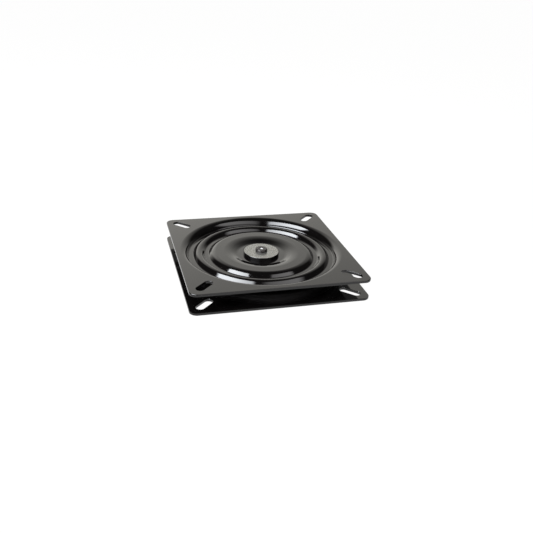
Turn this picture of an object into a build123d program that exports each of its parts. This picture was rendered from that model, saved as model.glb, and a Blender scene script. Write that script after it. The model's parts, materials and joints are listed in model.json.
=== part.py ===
# Swivel seat base: two square pressed plates, a ring of caged balls between them and a rivet through the middle.
# Millimetres, +Z up, origin at the pivot on the plane that the bottom plate stands on.
import os
from math import atan2, cos, radians, tan

from build123d import *

os.makedirs("parts", exist_ok=True)

# Plates
plate_size = 178.0
corner_radius = 7.5
overall_height = 22.2
sheet = 2.7
edge_break = 0.3

# Corner slots, one on each diagonal, each set in from the two edges beside it
slot_count = 4
slot_width = 8.6
slot_length = 21.8
slot_inset = 15.95
slot_angle = 45.0

# Balls
ball_diameter = 7.94
ball_count = 16
ball_clearance = 0.06

# Pressed rings, from the rim inwards, along the middle of the sheet. Runs are taken between the corners of the
# section, before they are bent round, and each bend has its own radius.
rim_width = 9.4
rim_bend = 6.65
rim_wall_run = 2.4
groove_bend = 2.85
outer_groove_width = 6.9
bead_slope = 48.0
bead_crown = 3.65
bead_foot_bend = 2.85
inner_groove_width = 4.95
disc_foot_bend = 2.85
disc_wall_run = 5.2
disc_depth = 3.4
disc_bend = 6.65
well_foot_bend = 9.35
well_margin = 7.5

# Parts of the span from the well's foot to the disc's edge that slope, and of that slope that bend over
well_wall_share = 0.4
well_bend_share = 0.44

# Free space between the two pressings, at the grooves and at the wells
groove_gap = 1.6
well_gap = 3.0

# Ball cage
cage_thickness = 1.0
cage_land = 3.0
pocket_clearance = 0.15

# Pivot
shank_diameter = 10.0
running_clearance = 0.1
fixed_clearance = 0.05
collar_diameter = 37.0
collar_thickness = 3.4
collar_edge_break = 0.5
spacer_diameter = 36.0
head_diameter = 20.0
head_recess = 0.8
head_edge_round = 1.0
tail_diameter = 12.4
tail_recess = 0.5
tail_edge_round = 0.9
dimple_diameter = 4.8
dimple_floor_diameter = 1.6
dimple_depth = 1.0

# Levels that follow from the sizes above
middle_height = overall_height / 2
half_sheet = sheet / 2
rim_level = overall_height - half_sheet
groove_level = middle_height + groove_gap / 2 + half_sheet
disc_level = rim_level - disc_depth
well_level = middle_height + well_gap / 2 + half_sheet
top_floor = well_level + half_sheet
bottom_floor = overall_height - top_floor

# The bead's straight sides lie half a sheet and a clearance away from the balls
ball_radius = ball_diameter / 2
bead_apex = middle_height + (ball_radius + ball_clearance + half_sheet) / cos(radians(bead_slope))
bead_half_width = (bead_apex - groove_level) / tan(radians(bead_slope))

# Radii from the plate's edge inwards to the disc, and from the pivot outwards to the well
rim_corner_radius = plate_size / 2 - rim_width
ring_edge_radius = rim_corner_radius + rim_bend
groove_outer_radius = rim_corner_radius - rim_wall_run
ball_circle_radius = groove_outer_radius - outer_groove_width - bead_half_width
groove_inner_radius = ball_circle_radius - bead_half_width - inner_groove_width
disc_corner_radius = groove_inner_radius - disc_wall_run
shank_radius = shank_diameter / 2
bore_radius = shank_radius + running_clearance
well_foot_radius = collar_diameter / 2 + well_margin
well_wall_run = (disc_corner_radius - well_foot_radius) * well_wall_share
well_corner_radius = well_foot_radius + well_wall_run
well_slope = atan2(disc_level - well_level, well_wall_run)
well_bend = well_wall_run * well_bend_share / tan(well_slope / 2)
slot_circle_radius = (plate_size / 2 - slot_inset) / cos(radians(slot_angle))

# Top plate: the ring pressing is a sheet section spun round the pivot, joined to a flat square rim
with BuildPart() as top_plate:
    with BuildSketch(Plane.XZ):
        with BuildLine():
            sheet_middle = FilletPolyline(
                (ring_edge_radius, rim_level),
                (rim_corner_radius, rim_level),
                (groove_outer_radius, groove_level),
                (ball_circle_radius + bead_half_width, groove_level),
                (ball_circle_radius, bead_apex),
                (ball_circle_radius - bead_half_width, groove_level),
                (groove_inner_radius, groove_level),
                (disc_corner_radius, disc_level),
                (well_corner_radius, disc_level),
                (well_foot_radius, well_level),
                (bore_radius, well_level),
                radius=(
                    rim_bend,
                    groove_bend,
                    bead_foot_bend,
                    bead_crown,
                    bead_foot_bend,
                    disc_foot_bend,
                    disc_bend,
                    well_bend,
                    well_foot_bend,
                ),
            )
        trace(sheet_middle, line_width=sheet)
    revolve(axis=Axis.Z)
    with BuildSketch(Plane.XY.offset(overall_height - sheet)):
        RectangleRounded(plate_size, plate_size, corner_radius)
        Circle(ring_edge_radius, mode=Mode.SUBTRACT)
        with PolarLocations(slot_circle_radius, slot_count, start_angle=slot_angle):
            SlotOverall(slot_length, slot_width, mode=Mode.SUBTRACT)
    extrude(amount=sheet)
    cut_wires = []
    for face in top_plate.faces().filter_by(GeomType.PLANE).sort_by(SortBy.AREA)[-2:]:
        cut_wires.append(face.outer_wire())
        cut_wires += face.inner_wires().sort_by(SortBy.LENGTH)[:slot_count]
    chamfer([edge for wire in cut_wires for edge in wire.edges()], edge_break)
top_plate.part.label = "top_plate"
export_step(top_plate.part, "parts/top_plate.step")

# Bottom plate: the same pressing turned over
with BuildPart() as bottom_plate:
    mirror(top_plate.part, about=Plane.XY.offset(middle_height))
bottom_plate.part.label = "bottom_plate"
export_step(bottom_plate.part, "parts/bottom_plate.step")

# Ball cage: flat ring at mid height with a round pocket for each ball
pocket_radius = ball_radius + pocket_clearance
with BuildPart() as ball_cage:
    with BuildSketch(Plane.XY.offset(middle_height - cage_thickness / 2)):
        Circle(ball_circle_radius + pocket_radius + cage_land)
        Circle(ball_circle_radius - pocket_radius - cage_land, mode=Mode.SUBTRACT)
        with PolarLocations(ball_circle_radius, ball_count):
            Circle(pocket_radius, mode=Mode.SUBTRACT)
    extrude(amount=cage_thickness)
ball_cage.part.label = "ball_cage"
export_step(ball_cage.part, "parts/ball_cage.step")

# Balls, one in each pocket
for number in range(1, ball_count + 1):
    with BuildPart() as ball:
        with Locations((0, 0, middle_height)):
            with PolarLocations(ball_circle_radius, 1, start_angle=(number - 1) * 360 / ball_count):
                Sphere(ball_radius)
    ball.part.label = f"ball_{number:02d}"
    export_step(ball.part, f"parts/ball_{number:02d}.step")

# Centre spacer: stands on the bottom well and stops just short of the top one
with BuildPart() as centre_spacer:
    with BuildSketch(Plane.XY.offset(middle_height - well_gap / 2)):
        Circle(spacer_diameter / 2)
        Circle(shank_radius + fixed_clearance, mode=Mode.SUBTRACT)
    extrude(amount=well_gap - running_clearance)
centre_spacer.part.label = "centre_spacer"
export_step(centre_spacer.part, "parts/centre_spacer.step")

# Top collar: disc in the top well, held by the rivet's tail
collar_base = top_floor + running_clearance
with BuildPart() as top_collar:
    with BuildSketch(Plane.XY.offset(collar_base)):
        Circle(collar_diameter / 2)
        Circle(shank_radius + fixed_clearance, mode=Mode.SUBTRACT)
    extrude(amount=collar_thickness)
    chamfer(top_collar.faces().sort_by(Axis.Z)[-1].outer_wire().edges(), collar_edge_break)
top_collar.part.label = "top_collar"
export_step(top_collar.part, "parts/top_collar.step")

# Bottom collar: disc under the bottom well, between it and the rivet's head
with BuildPart() as bottom_collar:
    with BuildSketch(Plane.XY.offset(bottom_floor - collar_thickness)):
        Circle(collar_diameter / 2)
        Circle(shank_radius + fixed_clearance, mode=Mode.SUBTRACT)
    extrude(amount=collar_thickness)
    chamfer(bottom_collar.faces().sort_by(Axis.Z)[0].outer_wire().edges(), collar_edge_break)
bottom_collar.part.label = "bottom_collar"
export_step(bottom_collar.part, "parts/bottom_collar.step")

# Pivot rivet: head below, shank through the stack, peened tail with a dimple above
head_top = bottom_floor - collar_thickness
tail_base = collar_base + collar_thickness
tail_top = overall_height - tail_recess
with BuildPart() as pivot_rivet:
    with BuildSketch(Plane.XY.offset(head_recess)):
        Circle(head_diameter / 2)
    extrude(amount=head_top - head_recess)
    fillet(pivot_rivet.faces().sort_by(Axis.Z)[0].edges(), head_edge_round)
    with BuildSketch(Plane.XY.offset(head_top)):
        Circle(shank_radius)
    extrude(amount=tail_base - head_top)
    with BuildSketch(Plane.XY.offset(tail_base)):
        Circle(tail_diameter / 2)
    extrude(amount=tail_top - tail_base)
    fillet(pivot_rivet.faces().sort_by(Axis.Z)[-1].edges(), tail_edge_round)
    with Locations((0, 0, tail_top - dimple_depth / 2)):
        Cone(dimple_floor_diameter / 2, dimple_diameter / 2, dimple_depth, mode=Mode.SUBTRACT)
pivot_rivet.part.label = "pivot_rivet"
export_step(pivot_rivet.part, "parts/pivot_rivet.step")
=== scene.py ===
# Swivel seat base: finishes for the two pressed plates, the ball race and the riveted pivot,
# in a small photo studio. Lengths are in metres.
import json
import math

import bpy
from mathutils import Matrix, Vector


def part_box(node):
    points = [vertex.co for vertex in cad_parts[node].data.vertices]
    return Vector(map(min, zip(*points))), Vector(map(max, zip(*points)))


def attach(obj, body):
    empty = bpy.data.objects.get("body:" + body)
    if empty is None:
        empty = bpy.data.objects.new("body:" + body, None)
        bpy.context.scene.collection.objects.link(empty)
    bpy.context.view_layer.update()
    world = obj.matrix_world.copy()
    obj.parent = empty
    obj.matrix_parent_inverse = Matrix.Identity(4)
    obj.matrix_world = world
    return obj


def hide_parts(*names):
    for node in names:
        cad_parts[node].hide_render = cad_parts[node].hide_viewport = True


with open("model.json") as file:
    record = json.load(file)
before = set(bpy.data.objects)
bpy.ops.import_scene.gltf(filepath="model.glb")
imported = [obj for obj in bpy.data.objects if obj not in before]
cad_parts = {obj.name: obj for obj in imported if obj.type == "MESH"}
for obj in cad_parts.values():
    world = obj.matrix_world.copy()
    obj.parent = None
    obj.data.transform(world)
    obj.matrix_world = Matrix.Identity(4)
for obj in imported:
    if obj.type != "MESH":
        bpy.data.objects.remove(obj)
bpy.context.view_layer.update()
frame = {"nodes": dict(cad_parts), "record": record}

MM = 0.001
TOUCH = 0.01 * MM
WHITE = (1, 1, 1, 1)
nodes = frame["nodes"]
bpy.ops.object.select_all(action="DESELECT")

# Heights that the finishes follow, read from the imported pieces
plate_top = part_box("top_plate")[1].z
collar_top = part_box("top_collar")[1].z
collar_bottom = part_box("bottom_collar")[0].z
rivet_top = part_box("pivot_rivet")[1].z
middle_height = plate_top / 2


# Helpers for node trees
def add_node(tree, kind, **settings):
    made = tree.nodes.new(kind)
    for name, value in settings.items():
        setattr(made, name, value)
    return made


def feed(tree, socket, source):
    """Sets a socket to a number or colour, or links it to another socket."""
    if isinstance(source, bpy.types.NodeSocket):
        tree.links.new(source, socket)
    else:
        socket.default_value = source


def maths(tree, operation, first, second=0.0):
    made = add_node(tree, "ShaderNodeMath", operation=operation)
    feed(tree, made.inputs[0], first)
    feed(tree, made.inputs[1], second)
    return made.outputs[0]


def spread(tree, value, low, high, out_low=0.0, out_high=1.0, smooth=True):
    """Maps a range of a value onto another range, and holds it at the ends."""
    kind = "SMOOTHSTEP" if smooth else "LINEAR"
    made = add_node(tree, "ShaderNodeMapRange", interpolation_type=kind)
    for socket, source in zip(made.inputs, (value, low, high, out_low, out_high)):
        feed(tree, socket, source)
    return made.outputs[0]


def mix_colour(tree, factor, first, second):
    """Mixes two colours. The node keeps its colour sockets after those for numbers and vectors."""
    made = add_node(tree, "ShaderNodeMix", data_type="RGBA")
    feed(tree, made.inputs["Factor"], factor)
    feed(tree, made.inputs[6], first)
    feed(tree, made.inputs[7], second)
    return made.outputs[2]


def split_xyz(tree, source):
    """The three numbers of a place or a direction."""
    made = add_node(tree, "ShaderNodeSeparateXYZ")
    feed(tree, made.inputs[0], source)
    return made.outputs[0], made.outputs[1], made.outputs[2]


def grain(tree, place, size, detail=2.0, roughness=0.5):
    """Noise with features of a given size, from 0 to 1."""
    made = add_node(tree, "ShaderNodeTexNoise")
    feed(tree, made.inputs["Vector"], place)
    made.inputs["Scale"].default_value = 1 / size
    made.inputs["Detail"].default_value = detail
    made.inputs["Roughness"].default_value = roughness
    return made.outputs[0]


def raise_surface(tree, shader, height, depth):
    """Bump of a given depth."""
    bump = add_node(tree, "ShaderNodeBump")
    bump.inputs["Strength"].default_value = 1.0
    bump.inputs["Distance"].default_value = depth
    feed(tree, bump.inputs["Height"], height)
    feed(tree, shader.inputs["Normal"], bump.outputs[0])


def start_material(name):
    material = bpy.data.materials.new(name)
    material.use_nodes = True
    tree = material.node_tree
    place = add_node(tree, "ShaderNodeTexCoord").outputs["Object"]
    return material, tree, tree.nodes["Principled BSDF"], place


def radius_from_axis(tree, x, y):
    """Distance from the pivot's axis."""
    across = maths(tree, "MULTIPLY", x, x)
    along = maths(tree, "MULTIPLY", y, y)
    return maths(tree, "SQRT", maths(tree, "ADD", across, along))


# The part of the noise's range that most of it fills
NOISE_SPAN = (0.3, 0.7)

# Enamel of the plates. Pairs run from the dark to the pale end, or from the smooth to the rough one.
ENAMEL_DARK = (0.0030, 0.0026, 0.0030, 1)
ENAMEL_PALE = (0.0065, 0.0058, 0.0056, 1)
ENAMEL_CLOUD_SIZE = 9.0 * MM
ENAMEL_GLOSS_SIZE = 22.0 * MM
ENAMEL_ROUGHNESS = (0.045, 0.085)
ENAMEL_SPECULAR = 0.5
ENAMEL_INDEX = 1.5
PEEL_SIZE = 2.2 * MM
PEEL_DEPTH = 0.0035 * MM
# Race: inward faces between the plates, inside this radius, are rougher, and their reflection is turned
# down as painted shade in the gap.
RACE_EDGE = 86.0 * MM
RACE_FADE = 3.0 * MM
RACE_ROUGHNESS = 0.5
RACE_SHADE_SPECULAR = 0.06


def stove_enamel():
    """Gloss black enamel with a faint orange peel; on the inward faces between the plates it is rougher,
    with its reflection turned down as painted shade.
    """
    material, tree, shader, place = start_material("stove_enamel")
    cloud = grain(tree, place, ENAMEL_CLOUD_SIZE, detail=4.0)
    feed(tree, shader.inputs["Base Color"], mix_colour(tree, cloud, ENAMEL_DARK, ENAMEL_PALE))
    x, y, height = split_xyz(tree, place)
    geometry = add_node(tree, "ShaderNodeNewGeometry")
    upward = split_xyz(tree, geometry.outputs["Normal"])[2]
    below_middle = maths(tree, "SUBTRACT", middle_height, height)
    inward = maths(tree, "GREATER_THAN", maths(tree, "MULTIPLY", below_middle, upward), 0.0)
    race = spread(tree, radius_from_axis(tree, x, y), RACE_EDGE - RACE_FADE, RACE_EDGE, 1.0, 0.0)
    dull_and_painted_shade = maths(tree, "MULTIPLY", inward, race)
    gloss_noise = grain(tree, place, ENAMEL_GLOSS_SIZE, detail=3.0)
    gloss = spread(tree, gloss_noise, *NOISE_SPAN, *ENAMEL_ROUGHNESS)
    feed(tree, shader.inputs["Roughness"], spread(tree, dull_and_painted_shade, 0.0, 1.0, gloss, RACE_ROUGHNESS))
    # Painted shade: the enamel's reflection is turned down on the inward faces between the plates, so that
    # the gap reads dark.
    specular = spread(tree, dull_and_painted_shade, 0.0, 1.0, ENAMEL_SPECULAR, RACE_SHADE_SPECULAR)
    feed(tree, shader.inputs["Specular IOR Level"], specular)
    shader.inputs["IOR"].default_value = ENAMEL_INDEX
    raise_surface(tree, shader, grain(tree, place, PEEL_SIZE, detail=1.0), PEEL_DEPTH)
    return material


# Collars: a grey face that ends at its bevel, over a black side
COLLAR_SPECKLE_COLOURS = (0.19, 0.19, 0.18, 1), (0.41, 0.41, 0.385, 1)
COLLAR_SPECKLE_SIZE = 0.55 * MM
COLLAR_SPECKLE_SPAN = (0.36, 0.66)
COLLAR_SPECKLE_DEPTH = 0.012 * MM
COLLAR_CLOUD_COLOUR = (0.245, 0.245, 0.23, 1)
COLLAR_CLOUD_SIZE = 5.0 * MM
COLLAR_CLOUD_SHARE = 0.5
COLLAR_FACE_EDGE = (0.02 * MM, 0.08 * MM)
COLLAR_FACE_METALLIC = 0.7
COLLAR_FACE_ROUGHNESS = (0.24, 0.36)
COLLAR_FACE_SPECULAR = 0.5
COLLAR_SIDE_ROUGHNESS = 0.25
COLLAR_SIDE_SPECULAR = 0.15


def collar_finish():
    """Matt speckled grey on the outer face, with satin black on its bevel and down the side."""
    material, tree, shader, place = start_material("collar_finish")
    height = split_xyz(tree, place)[2]
    depth_top = maths(tree, "SUBTRACT", collar_top, height)
    depth_bottom = maths(tree, "SUBTRACT", height, collar_bottom)
    depth = maths(tree, "MINIMUM", depth_top, depth_bottom)
    face = spread(tree, depth, *COLLAR_FACE_EDGE, 1.0, 0.0)
    speckle_noise = grain(tree, place, COLLAR_SPECKLE_SIZE, detail=3.0, roughness=0.7)
    speckle = spread(tree, speckle_noise, *COLLAR_SPECKLE_SPAN, smooth=False)
    cloud_noise = grain(tree, place, COLLAR_CLOUD_SIZE, detail=3.0)
    cloud = maths(tree, "MULTIPLY", cloud_noise, COLLAR_CLOUD_SHARE)
    grey = mix_colour(tree, speckle, *COLLAR_SPECKLE_COLOURS)
    grey = mix_colour(tree, cloud, grey, COLLAR_CLOUD_COLOUR)
    feed(tree, shader.inputs["Base Color"], mix_colour(tree, face, ENAMEL_PALE, grey))
    feed(tree, shader.inputs["Metallic"], maths(tree, "MULTIPLY", face, COLLAR_FACE_METALLIC))
    matt = spread(tree, speckle, 0.0, 1.0, *COLLAR_FACE_ROUGHNESS)
    roughness = spread(tree, face, 0.0, 1.0, COLLAR_SIDE_ROUGHNESS, matt)
    feed(tree, shader.inputs["Roughness"], roughness)
    specular = spread(tree, face, 0.0, 1.0, COLLAR_SIDE_SPECULAR, COLLAR_FACE_SPECULAR)
    feed(tree, shader.inputs["Specular IOR Level"], specular)
    raise_surface(tree, shader, maths(tree, "MULTIPLY", speckle, face), COLLAR_SPECKLE_DEPTH)
    return material


# Rivet: dark skin, and bare steel inside a radius near the end of its tail
RIVET_SKIN_COLOURS = (0.012, 0.010, 0.010, 1), (0.045, 0.040, 0.038, 1)
RIVET_BARE_COLOURS = (0.62, 0.62, 0.63, 1), (0.84, 0.84, 0.85, 1)
RIVET_BARE_EDGE = (1.3 * MM, 1.8 * MM)
RIVET_BARE_DEPTH = (2.0 * MM, 1.9 * MM)
RIVET_BARE_ROUGHNESS = 0.5
RIVET_SKIN_ROUGHNESS = (0.2, 0.34)
RIVET_METALLIC = (0.35, 1.0)
RIVET_MOTTLE_SIZE = 0.8 * MM
RIVET_MOTTLE_DEPTH = 0.01 * MM


def rivet_finish():
    """Dark mottled steel, bright in the dimple of its end."""
    material, tree, shader, place = start_material("rivet_finish")
    x, y, height = split_xyz(tree, place)
    near_end = spread(tree, height, *(rivet_top - depth for depth in RIVET_BARE_DEPTH))
    near_axis = spread(tree, radius_from_axis(tree, x, y), *RIVET_BARE_EDGE, 1.0, 0.0)
    bare = maths(tree, "MULTIPLY", near_axis, near_end)
    mottle = grain(tree, place, RIVET_MOTTLE_SIZE, detail=3.0, roughness=0.65)
    skin = mix_colour(tree, mottle, *RIVET_SKIN_COLOURS)
    steel = mix_colour(tree, mottle, *RIVET_BARE_COLOURS)
    feed(tree, shader.inputs["Base Color"], mix_colour(tree, bare, skin, steel))
    feed(tree, shader.inputs["Metallic"], spread(tree, bare, 0.0, 1.0, *RIVET_METALLIC))
    worn = spread(tree, mottle, *NOISE_SPAN, *RIVET_SKIN_ROUGHNESS)
    feed(tree, shader.inputs["Roughness"], spread(tree, bare, 0.0, 1.0, worn, RIVET_BARE_ROUGHNESS))
    raise_surface(tree, shader, mottle, RIVET_MOTTLE_DEPTH)
    return material


# Balls, cage and spacer
BALL_COLOURS = (0.70, 0.70, 0.72, 1), (0.80, 0.80, 0.81, 1)
BALL_SMEAR_SIZE = 3.0 * MM
BALL_SMEAR_SPAN = (0.35, 0.7)
BALL_ROUGHNESS = (0.07, 0.2)
NYLON_COLOURS = (0.66, 0.64, 0.57, 1), (0.76, 0.74, 0.68, 1)
NYLON_FLOW_SIZE = 4.0 * MM
NYLON_ROUGHNESS = (0.38, 0.52)
NYLON_PIT_SIZE = 0.5 * MM
NYLON_PIT_DEPTH = 0.006 * MM


def ball_steel():
    """Polished bearing steel with a little smear of grease."""
    material, tree, shader, place = start_material("ball_steel")
    smear = grain(tree, place, BALL_SMEAR_SIZE, detail=3.0)
    feed(tree, shader.inputs["Base Color"], mix_colour(tree, smear, *BALL_COLOURS))
    shader.inputs["Metallic"].default_value = 1.0
    feed(tree, shader.inputs["Roughness"], spread(tree, smear, *BALL_SMEAR_SPAN, *BALL_ROUGHNESS))
    return material


def natural_nylon():
    """Moulded nylon: milky, with a soft sheen and a fine flow mottle."""
    material, tree, shader, place = start_material("natural_nylon")
    flow = grain(tree, place, NYLON_FLOW_SIZE, detail=3.0)
    feed(tree, shader.inputs["Base Color"], mix_colour(tree, flow, *NYLON_COLOURS))
    feed(tree, shader.inputs["Roughness"], spread(tree, flow, *NOISE_SPAN, *NYLON_ROUGHNESS))
    raise_surface(tree, shader, grain(tree, place, NYLON_PIT_SIZE), NYLON_PIT_DEPTH)
    return material


finishes = {
    "black_paint": stove_enamel(),
    "collar_plate": collar_finish(),
    "rivet_steel": rivet_finish(),
    "ball_steel": ball_steel(),
    "nylon": natural_nylon(),
}
for piece in frame["record"]["subparts"]:
    mesh = nodes[piece["node"]].data
    mesh.materials.clear()
    mesh.materials.append(finishes[piece["material_slot"]])


# Pressed plates, modelled again with even rings so that reflections run smoothly round the bends.
# Runs of the section lie along the middle of the sheet, from the rim inwards, as the press forms it.
HALF_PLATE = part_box("top_plate")[1].x
CORNER_RADIUS = 7.5 * MM
SHEET = 2.7 * MM
EDGE_ROUND = 0.6 * MM
SLOT_ROUND = 0.3 * MM
UNDER_BREAK = 0.3 * MM
RIM_WIDTH = 9.4 * MM
RIM_WALL_RUN = 2.4 * MM
OUTER_GROOVE_WIDTH = 6.9 * MM
INNER_GROOVE_WIDTH = 4.95 * MM
DISC_WALL_RUN = 5.2 * MM
DISC_DEPTH = 3.4 * MM
WELL_MARGIN = 7.5 * MM
WELL_WALL_SHARE = 0.4
WELL_BEND_SHARE = 0.44
GROOVE_GAP = 1.6 * MM
WELL_GAP = 3.0 * MM
BEAD_SLOPE = math.radians(48.0)
WIDE_BEND = 6.65 * MM
TIGHT_BEND = 2.85 * MM
CROWN_BEND = 3.65 * MM
WELL_FOOT_BEND = 9.35 * MM
BALL_CLEARANCE = 0.06 * MM
BORE_RADIUS = 5.1 * MM
SLOT_WIDTH = 8.6 * MM
SLOT_LENGTH = 21.8 * MM
SLOT_INSET = 15.95 * MM
SLOT_COUNT = 4
SLOT_ANGLE = math.radians(45)
RING_SEGMENTS = 256
CORNER_SEGMENTS = 8
BEND_SEGMENTS = 8
EDGE_SEGMENTS = 3
UNDER_SEGMENTS = 2
SLOT_SEGMENTS = 48
SLOT_ROUND_SEGMENTS = 3
SMOOTH_ANGLE = math.radians(40)
FLAT_FACING = 0.99999


def section_corners():
    """Corners of the sheet's middle from the rim to the bore: radius, height and bend radius."""
    half_sheet = SHEET / 2
    ball_low, ball_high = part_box("ball_01")
    ball_radius = (ball_high.z - ball_low.z) / 2
    bead_apex = middle_height + (ball_radius + BALL_CLEARANCE + half_sheet) / math.cos(BEAD_SLOPE)
    rim_level = plate_top - half_sheet
    groove_level = middle_height + GROOVE_GAP / 2 + half_sheet
    disc_level = rim_level - DISC_DEPTH
    well_level = middle_height + WELL_GAP / 2 + half_sheet
    bead_half_width = (bead_apex - groove_level) / math.tan(BEAD_SLOPE)
    rim_corner = HALF_PLATE - RIM_WIDTH
    groove_outer = rim_corner - RIM_WALL_RUN
    bead_outer = groove_outer - OUTER_GROOVE_WIDTH
    bead_inner = bead_outer - 2 * bead_half_width
    groove_inner = bead_inner - INNER_GROOVE_WIDTH
    disc_corner = groove_inner - DISC_WALL_RUN
    well_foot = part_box("top_collar")[1].x + WELL_MARGIN
    well_run = (disc_corner - well_foot) * WELL_WALL_SHARE
    well_slope = math.atan2(disc_level - well_level, well_run)
    well_bend = well_run * WELL_BEND_SHARE / math.tan(well_slope / 2)
    return [
        (rim_corner + WIDE_BEND, rim_level, 0.0),
        (rim_corner, rim_level, WIDE_BEND),
        (groove_outer, groove_level, TIGHT_BEND),
        (bead_outer, groove_level, TIGHT_BEND),
        (bead_outer - bead_half_width, bead_apex, CROWN_BEND),
        (bead_inner, groove_level, TIGHT_BEND),
        (groove_inner, groove_level, TIGHT_BEND),
        (disc_corner, disc_level, WIDE_BEND),
        (well_foot + well_run, disc_level, well_bend),
        (well_foot, well_level, WELL_FOOT_BEND),
        (BORE_RADIUS, well_level, 0.0),
    ]


def select_where(piece, test):
    """Selects the vertices of a piece whose places pass a test, and leaves it in edit mode."""
    bpy.ops.object.mode_set(mode="EDIT")
    bpy.ops.mesh.select_mode(type="VERT")
    bpy.ops.mesh.select_all(action="DESELECT")
    bpy.ops.object.mode_set(mode="OBJECT")
    for vertex in piece.data.vertices:
        vertex.select = test(vertex.co)
    bpy.ops.object.mode_set(mode="EDIT")


def near(first, second):
    return abs(first - second) < TOUCH


def radius_of(place):
    return math.hypot(place.x, place.y)


def outline_gap(place):
    """Distance from a place in to the plate's rounded square outline."""
    reach_x = abs(place.x) - HALF_PLATE + CORNER_RADIUS
    reach_y = abs(place.y) - HALF_PLATE + CORNER_RADIUS
    if min(reach_x, reach_y) > 0:
        return CORNER_RADIUS - math.hypot(reach_x, reach_y)
    return CORNER_RADIUS - max(reach_x, reach_y)


def apply_modifier(piece, kind, **settings):
    modifier = piece.modifiers.new(kind.lower(), kind)
    for name, value in settings.items():
        setattr(modifier, name, value)
    bpy.ops.object.modifier_apply(modifier=modifier.name)


def press_rings(corners):
    """A circle drawn in ring by ring through the corners of the section, each ring then bent round."""
    radius, level, _ = corners[0]
    bpy.ops.mesh.primitive_circle_add(vertices=RING_SEGMENTS, radius=radius, location=(0, 0, level))
    piece = bpy.context.object
    bpy.ops.object.transform_apply(location=True)
    bpy.ops.object.mode_set(mode="EDIT")
    bpy.ops.mesh.select_all(action="SELECT")
    for (outer, upper, _), (inner, lower, _) in zip(corners, corners[1:]):
        drop = {"value": (0, 0, lower - upper)}
        bpy.ops.mesh.extrude_region_move(TRANSFORM_OT_translate=drop)
        shrink = inner / outer
        bpy.ops.transform.resize(value=(shrink, shrink, 1), center_override=(0, 0, 0))
    for before, corner, after in zip(corners, corners[1:], corners[2:]):
        radius, level, bend = corner
        entry = math.atan2(level - before[1], radius - before[0])
        leave = math.atan2(after[1] - level, after[0] - radius)
        turn = abs((leave - entry + math.pi) % (2 * math.pi) - math.pi)
        select_where(piece, lambda place: near(radius_of(place), radius) and near(place.z, level))
        setback = bend * math.tan(turn / 2)
        bpy.ops.mesh.bevel(offset=setback, segments=BEND_SEGMENTS, profile=0.5, clamp_overlap=False)
    bpy.ops.object.mode_set(mode="OBJECT")
    return piece


def cut_outline(level):
    """Outline of the blank: a square with round corners, with as many vertices as a ring has."""
    bpy.ops.mesh.primitive_plane_add(size=2 * HALF_PLATE, location=(0, 0, level))
    outline = bpy.context.object
    bpy.ops.object.transform_apply(location=True)
    bpy.ops.object.mode_set(mode="EDIT")
    bpy.ops.mesh.select_all(action="SELECT")
    bpy.ops.mesh.bevel(offset=CORNER_RADIUS, segments=CORNER_SEGMENTS, profile=0.5, affect="VERTICES")
    bpy.ops.mesh.select_all(action="SELECT")
    bpy.ops.mesh.delete(type="ONLY_FACE")
    straight = HALF_PLATE - CORNER_RADIUS
    select_where(outline, lambda place: near(min(abs(place.x), abs(place.y)), straight))
    bpy.ops.mesh.subdivide(number_cuts=RING_SEGMENTS // 4 - CORNER_SEGMENTS - 1)
    bpy.ops.object.mode_set(mode="OBJECT")
    return outline


def slot_punch():
    """Punch for the corner slots: rolls the edge over where it enters, and breaks it where it leaves."""
    low, high = plate_top - SHEET, plate_top
    stations = [(low - SHEET, UNDER_BREAK), (low, UNDER_BREAK), (low + UNDER_BREAK, 0.0)]
    for step in range(SLOT_ROUND_SEGMENTS + 1):
        angle = math.radians(90 * step / SLOT_ROUND_SEGMENTS)
        rise = SLOT_ROUND * (math.sin(angle) - 1)
        stations.append((high + rise, SLOT_ROUND * (1 - math.cos(angle))))
    stations.append((high + SHEET, SLOT_ROUND))
    bpy.ops.mesh.primitive_circle_add(
        vertices=SLOT_SEGMENTS,
        radius=SLOT_WIDTH / 2,
        fill_type="NGON",
        rotation=(0, 0, math.pi / SLOT_SEGMENTS),
    )
    punch = bpy.context.object
    bpy.ops.object.transform_apply(rotation=True)
    for side in (-1, 1):
        select_where(punch, lambda place: place.x * side > 0)
        bpy.ops.transform.translate(value=(side * (SLOT_LENGTH - SLOT_WIDTH) / 2, 0, 0))
    bpy.ops.mesh.select_all(action="SELECT")
    height, spread_out = 0.0, 0.0
    for level, growth in stations:
        rise = {"value": (0, 0, level - height)}
        if height:
            bpy.ops.mesh.extrude_region_move(TRANSFORM_OT_translate=rise)
        else:
            bpy.ops.transform.translate(**rise)
        along = (SLOT_LENGTH / 2 + growth) / (SLOT_LENGTH / 2 + spread_out)
        across = (SLOT_WIDTH / 2 + growth) / (SLOT_WIDTH / 2 + spread_out)
        bpy.ops.transform.resize(value=(along, across, 1), center_override=(0, 0, 0))
        height, spread_out = level, growth
    bpy.ops.mesh.select_all(action="SELECT")
    slot_circle = (HALF_PLATE - SLOT_INSET) * math.sqrt(2)
    bpy.ops.transform.translate(value=(slot_circle, 0, 0))
    bpy.ops.transform.rotate(value=SLOT_ANGLE, orient_axis="Z", center_override=(0, 0, 0))
    turn = 2 * math.pi * (SLOT_COUNT - 1) / SLOT_COUNT
    bpy.ops.mesh.spin(steps=SLOT_COUNT - 1, angle=turn, center=(0, 0, 0), axis=(0, 0, 1), dupli=True)
    bpy.ops.mesh.select_all(action="SELECT")
    bpy.ops.mesh.normals_make_consistent(inside=False)
    bpy.ops.object.mode_set(mode="OBJECT")
    return punch


def make_active(*pieces):
    bpy.ops.object.select_all(action="DESELECT")
    for piece in pieces:
        piece.select_set(True)
    bpy.context.view_layer.objects.active = pieces[0]


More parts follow.
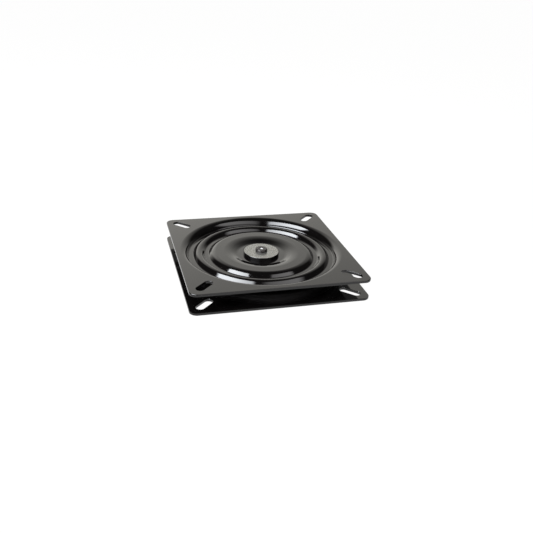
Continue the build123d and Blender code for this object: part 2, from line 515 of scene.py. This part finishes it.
def form_plate():
    """Top plate: rings bridged to an outline that is let down to them, then thickened and punched."""
    corners = section_corners()
    ring_edge, rim_level, _ = corners[0]
    plate = press_rings(corners)
    outline = cut_outline(plate_top + HALF_PLATE)
    make_active(plate, outline)
    bpy.ops.object.join()
    select_where(plate, lambda place: radius_of(place) > ring_edge - TOUCH)
    bpy.ops.mesh.bridge_edge_loops()
    select_where(plate, lambda place: place.z > plate_top)
    bpy.ops.transform.translate(value=(0, 0, rim_level - plate_top - HALF_PLATE))
    bpy.ops.mesh.select_all(action="SELECT")
    bpy.ops.mesh.normals_make_consistent(inside=False)
    bpy.ops.object.mode_set(mode="OBJECT")
    apply_modifier(plate, "SOLIDIFY", thickness=SHEET, offset=0.0, use_even_offset=True)
    select_where(plate, lambda place: outline_gap(place) < TOUCH and near(place.z, plate_top))
    bpy.ops.mesh.bevel(offset=EDGE_ROUND, segments=EDGE_SEGMENTS, profile=0.5)
    select_where(plate, lambda place: outline_gap(place) < TOUCH and near(place.z, plate_top - SHEET))
    bpy.ops.mesh.bevel(offset=UNDER_BREAK, segments=UNDER_SEGMENTS, profile=0.5)
    bpy.ops.object.mode_set(mode="OBJECT")
    punch = slot_punch()
    make_active(plate)
    apply_modifier(plate, "BOOLEAN", operation="DIFFERENCE", solver="EXACT", object=punch)
    bpy.data.objects.remove(punch)
    return plate


def finish_plate(plate, name, node, body):
    """Shades a plate so that its flats stay flat up to their edges, and puts it in its node's place."""
    make_active(plate)
    bpy.ops.object.shade_smooth_by_angle(angle=SMOOTH_ANGLE)
    bpy.ops.object.mode_set(mode="EDIT")
    bpy.ops.mesh.select_mode(type="FACE")
    bpy.ops.mesh.select_all(action="DESELECT")
    bpy.ops.object.mode_set(mode="OBJECT")
    for face in plate.data.polygons:
        face.select = abs(face.normal.z) > FLAT_FACING
    bpy.ops.object.mode_set(mode="EDIT")
    bpy.ops.mesh.set_normals_from_faces(keep_sharp=True)
    bpy.ops.object.mode_set(mode="OBJECT")
    plate.name = name
    plate.data.name = name
    plate.data.materials.append(finishes["black_paint"])
    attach(plate, body)
    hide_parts(node)


def make_plates():
    top = form_plate()
    make_active(top)
    bpy.ops.object.duplicate()
    bottom = bpy.context.object
    bpy.ops.object.mode_set(mode="EDIT")
    bpy.ops.mesh.select_all(action="SELECT")
    bpy.ops.transform.resize(value=(1, 1, -1), center_override=(0, 0, middle_height))
    bpy.ops.mesh.normals_make_consistent(inside=False)
    bpy.ops.object.mode_set(mode="OBJECT")
    finish_plate(top, "pressed_top", "top_plate", "turntable")
    finish_plate(bottom, "pressed_bottom", "bottom_plate", "base")


make_plates()


# Camera: the photograph's angle, with its small roll. The sensor's width is in millimetres.
CAMERA_AZIMUTH = math.radians(-16.037)
CAMERA_ELEVATION = math.radians(26.365)
CAMERA_ROLL = math.radians(2.989)
CAMERA_DISTANCE = 0.64470
IMAGE_WIDTH = 533
FOCAL_PIXELS = 652.20
SENSOR_WIDTH = 36.0
CLIP_NEAR = 0.01
CLIP_FAR = 100
AIM_RIGHT = -5.936 * MM
AIM_BACK = -43.619 * MM


def heading(azimuth, elevation):
    """Direction from the object: azimuth 0 lies to the front, and 90 degrees to the right."""
    flat = math.cos(elevation)
    return Vector((math.sin(azimuth) * flat, -math.cos(azimuth) * flat, math.sin(elevation)))


def make_camera():
    back = heading(CAMERA_AZIMUTH, CAMERA_ELEVATION)
    right = Vector((0, 0, 1)).cross(back).normalized()
    up = back.cross(right)
    turned_right = math.cos(CAMERA_ROLL) * right + math.sin(CAMERA_ROLL) * up
    turned_up = math.cos(CAMERA_ROLL) * up - math.sin(CAMERA_ROLL) * right
    data = bpy.data.cameras.new("studio_camera")
    data.sensor_width = SENSOR_WIDTH
    data.lens = FOCAL_PIXELS * SENSOR_WIDTH / IMAGE_WIDTH
    data.clip_start = CLIP_NEAR
    data.clip_end = CLIP_FAR
    camera = bpy.data.objects.new("studio_camera", data)
    bpy.context.scene.collection.objects.link(camera)
    camera.matrix_world = Matrix((turned_right, turned_up, back)).transposed().to_4x4()
    aim = Vector((AIM_RIGHT, AIM_BACK, plate_top))
    camera.matrix_world.translation = aim + back * CAMERA_DISTANCE
    bpy.context.scene.camera = camera


make_camera()


# Floor: white paper, white to the camera with a faint shadow, and open from below
FLOOR_SIZE = 30.0
FLOOR_DROP = 0.3 * MM
PAPER_COLOURS = (0.78, 0.78, 0.77, 1), (0.82, 0.82, 0.81, 1)
PAPER_CLOUD_SIZE = 40.0 * MM
PAPER_ROUGHNESS = 0.9
PAPER_SPECULAR = 0.1
PAPER_GLOW = 1.08
PAPER_GLOW_SHARE = 0.9


def make_floor():
    bpy.ops.mesh.primitive_plane_add(size=FLOOR_SIZE, location=(0, 0, -FLOOR_DROP))
    floor = bpy.context.object
    floor.name = "paper_floor"
    material, tree, shader, place = start_material("white_paper")
    cloud = grain(tree, place, PAPER_CLOUD_SIZE)
    feed(tree, shader.inputs["Base Color"], mix_colour(tree, cloud, *PAPER_COLOURS))
    shader.inputs["Roughness"].default_value = PAPER_ROUGHNESS
    shader.inputs["Specular IOR Level"].default_value = PAPER_SPECULAR
    path = add_node(tree, "ShaderNodeLightPath")
    glow = add_node(tree, "ShaderNodeEmission")
    shown = add_node(tree, "ShaderNodeMixShader")
    seen = maths(tree, "MAXIMUM", path.outputs["Is Camera Ray"], path.outputs["Is Glossy Ray"])
    feed(tree, shown.inputs[0], maths(tree, "MULTIPLY", seen, PAPER_GLOW_SHARE))
    feed(tree, shown.inputs[1], shader.outputs[0])
    feed(tree, shown.inputs[2], glow.outputs[0])
    glow.inputs["Strength"].default_value = PAPER_GLOW
    geometry = add_node(tree, "ShaderNodeNewGeometry")
    clear = add_node(tree, "ShaderNodeBsdfTransparent")
    sided = add_node(tree, "ShaderNodeMixShader")
    feed(tree, sided.inputs[0], geometry.outputs["Backfacing"])
    feed(tree, sided.inputs[1], shown.outputs[0])
    feed(tree, sided.inputs[2], clear.outputs[0])
    feed(tree, tree.nodes["Material Output"].inputs["Surface"], sided.outputs[0])
    floor.data.materials.append(material)


make_floor()


# World: a lit white backdrop behind the object, brighter to the left, in a dark room. Its edges are in
# degrees, to the right of the middle of the picture and up from the floor.
BACKDROP_SPAN = (-32.0, 32.0)
BACKDROP_LEFT_EDGE = (-50.0, -31.0)
BACKDROP_RIGHT_EDGE = (27.0, 43.0)
BACKDROP_TOP_EDGE = (24.0, 64.0)
BACKDROP_LEFT_LEVEL = 1.75
BACKDROP_RIGHT_LEVEL = 0.44
BACKDROP_TINT = (1.0, 0.98, 0.92, 1)
ROOM_LEVEL = 0.03


def make_world():
    world = bpy.data.worlds.new("studio")
    bpy.context.scene.world = world
    world.use_nodes = True
    tree = world.node_tree
    background = tree.nodes["Background"]
    direction = add_node(tree, "ShaderNodeTexCoord").outputs["Generated"]
    x, y, upward = split_xyz(tree, direction)
    turn = maths(tree, "DEGREES", maths(tree, "ARCTAN2", x, y))
    side = maths(tree, "ADD", turn, math.degrees(CAMERA_AZIMUTH))
    elevation = maths(tree, "DEGREES", maths(tree, "ARCSINE", upward))
    levels = BACKDROP_LEFT_LEVEL, BACKDROP_RIGHT_LEVEL
    level = spread(tree, side, *BACKDROP_SPAN, *levels, smooth=False)
    left_edge = spread(tree, side, *BACKDROP_LEFT_EDGE)
    right_edge = spread(tree, side, *BACKDROP_RIGHT_EDGE, 1.0, 0.0)
    top_edge = spread(tree, elevation, *BACKDROP_TOP_EDGE, 1.0, 0.0)
    cloth = maths(tree, "MULTIPLY", maths(tree, "MULTIPLY", left_edge, right_edge), top_edge)
    studio = maths(tree, "ADD", maths(tree, "MULTIPLY", level, cloth), ROOM_LEVEL)
    seen = add_node(tree, "ShaderNodeLightPath").outputs["Is Camera Ray"]
    feed(tree, background.inputs["Strength"], maths(tree, "MAXIMUM", studio, seen))
    feed(tree, background.inputs["Color"], mix_colour(tree, seen, BACKDROP_TINT, WHITE))


make_world()


# Softboxes: one to each side of the camera, seen in the gloss only. Each is wider at its foot and leans
# outwards, with the outer top corner and the inner foot corner cut off. It comes up to full brightness over
# the foot's span, in shares of the height.
SOFTBOX_AZIMUTH = math.radians(45)
SOFTBOX_ELEVATION = math.radians(40)
SOFTBOX_DISTANCE = 1.2
SOFTBOX_HEIGHT = 1.22 * SOFTBOX_DISTANCE
SOFTBOX_NARROWING = 0.90
SOFTBOX_SHIFT = 0.335 * SOFTBOX_DISTANCE
SOFTBOX_LEAN = 0.615 * SOFTBOX_DISTANCE
SOFTBOX_TOP_CUT = 0.30 * SOFTBOX_DISTANCE
SOFTBOX_FOOT_CUT = 0.27 * SOFTBOX_DISTANCE
SOFTBOX_FOOT_SPAN = (0.22, 0.34)
SOFTBOX_INNER_SHARE = 0.5
COOL = (0.93, 0.96, 1.0, 1)
NEUTRAL = (1.0, 0.98, 0.98, 1)


def softbox(name, side, level, tint, width, fade, foot_share):
    """Panel to the left (-1) or right (1) of the camera, dimmer on the inner side and at its foot."""
    bpy.ops.mesh.primitive_plane_add(size=1.0)
    panel = bpy.context.object
    panel.name = name
    bpy.ops.object.mode_set(mode="EDIT")
    bpy.ops.mesh.select_all(action="SELECT")
    bpy.ops.transform.resize(value=(width, SOFTBOX_HEIGHT, 1))
    select_where(panel, lambda place: place.y > 0)
    bpy.ops.transform.resize(value=(SOFTBOX_NARROWING, 1, 1), center_override=(0, 0, 0))
    bpy.ops.transform.translate(value=(side * SOFTBOX_LEAN, 0, 0))
    bpy.ops.mesh.select_all(action="SELECT")
    bpy.ops.transform.translate(value=(-side * SOFTBOX_SHIFT, 0, 0))
    bpy.ops.object.mode_set(mode="OBJECT")
    for height, cut in ((1, SOFTBOX_TOP_CUT), (-1, SOFTBOX_FOOT_CUT)):
        outermost = max(corner.co.x * side * height for corner in panel.data.vertices)
        select_where(panel, lambda place: near(place.x * side * height, outermost))
        bpy.ops.mesh.bevel(offset=cut, segments=1, affect="VERTICES")
        bpy.ops.object.mode_set(mode="OBJECT")
    towards = heading(CAMERA_AZIMUTH + side * SOFTBOX_AZIMUTH, SOFTBOX_ELEVATION)
    panel.matrix_world = towards.to_track_quat("Z", "Y").to_matrix().to_4x4()
    panel.matrix_world.translation = Vector((0, 0, plate_top)) + towards * SOFTBOX_DISTANCE
    material, tree, shader, place = start_material(name)
    x, y, _ = split_xyz(tree, place)
    outward = maths(tree, "MULTIPLY", x, side)
    climb = spread(tree, y, -SOFTBOX_HEIGHT / 2, SOFTBOX_HEIGHT / 2, smooth=False)
    middle = spread(tree, climb, 0.0, 1.0, -SOFTBOX_SHIFT, SOFTBOX_LEAN - SOFTBOX_SHIFT, smooth=False)
    across = maths(tree, "SUBTRACT", outward, middle)
    reach = width / 2
    half_width = spread(tree, climb, 0.0, 1.0, reach, reach * SOFTBOX_NARROWING, smooth=False)
    from_side = maths(tree, "SUBTRACT", half_width, maths(tree, "ABSOLUTE", across))
    soft = spread(tree, from_side, 0.0, fade)
    rising = spread(tree, climb, *SOFTBOX_FOOT_SPAN, foot_share, 1.0)
    shine = spread(tree, across, -reach, reach / 3, level * SOFTBOX_INNER_SHARE, level)
    evenness = maths(tree, "MULTIPLY", soft, rising)
    glow = add_node(tree, "ShaderNodeEmission")
    glow.inputs["Color"].default_value = tint
    feed(tree, glow.inputs["Strength"], maths(tree, "MULTIPLY", shine, evenness))
    feed(tree, tree.nodes["Material Output"].inputs["Surface"], glow.outputs[0])
    panel.data.materials.append(material)
    panel.visible_camera = False
    panel.visible_diffuse = False
    panel.visible_shadow = False


softbox(
    "key_softbox",
    side=-1,
    level=21.0,
    tint=COOL,
    width=1.23 * SOFTBOX_DISTANCE,
    fade=0.14 * SOFTBOX_DISTANCE,
    foot_share=0.03,
)
softbox(
    "side_softbox",
    side=1,
    level=2.9,
    tint=NEUTRAL,
    width=1.45 * SOFTBOX_DISTANCE,
    fade=0.32 * SOFTBOX_DISTANCE,
    foot_share=0.35,
)


# Lamp: an even light for the matt faces, which doesn't show in the gloss
def even_light(azimuth, elevation, distance, diameter, power):
    data = bpy.data.lights.new("even_light", "AREA")
    data.shape = "DISK"
    data.size = diameter
    data.energy = power
    lamp = bpy.data.objects.new("even_light", data)
    bpy.context.scene.collection.objects.link(lamp)
    towards = heading(CAMERA_AZIMUTH + math.radians(azimuth), math.radians(elevation))
    lamp.matrix_world = towards.to_track_quat("Z", "Y").to_matrix().to_4x4()
    lamp.matrix_world.translation = Vector((0, 0, plate_top)) + towards * distance
    lamp.visible_camera = False
    lamp.visible_glossy = False


even_light(azimuth=-35, elevation=58, distance=1.2, diameter=1.2, power=16.0)

bpy.context.scene.view_settings.view_transform = "Standard"
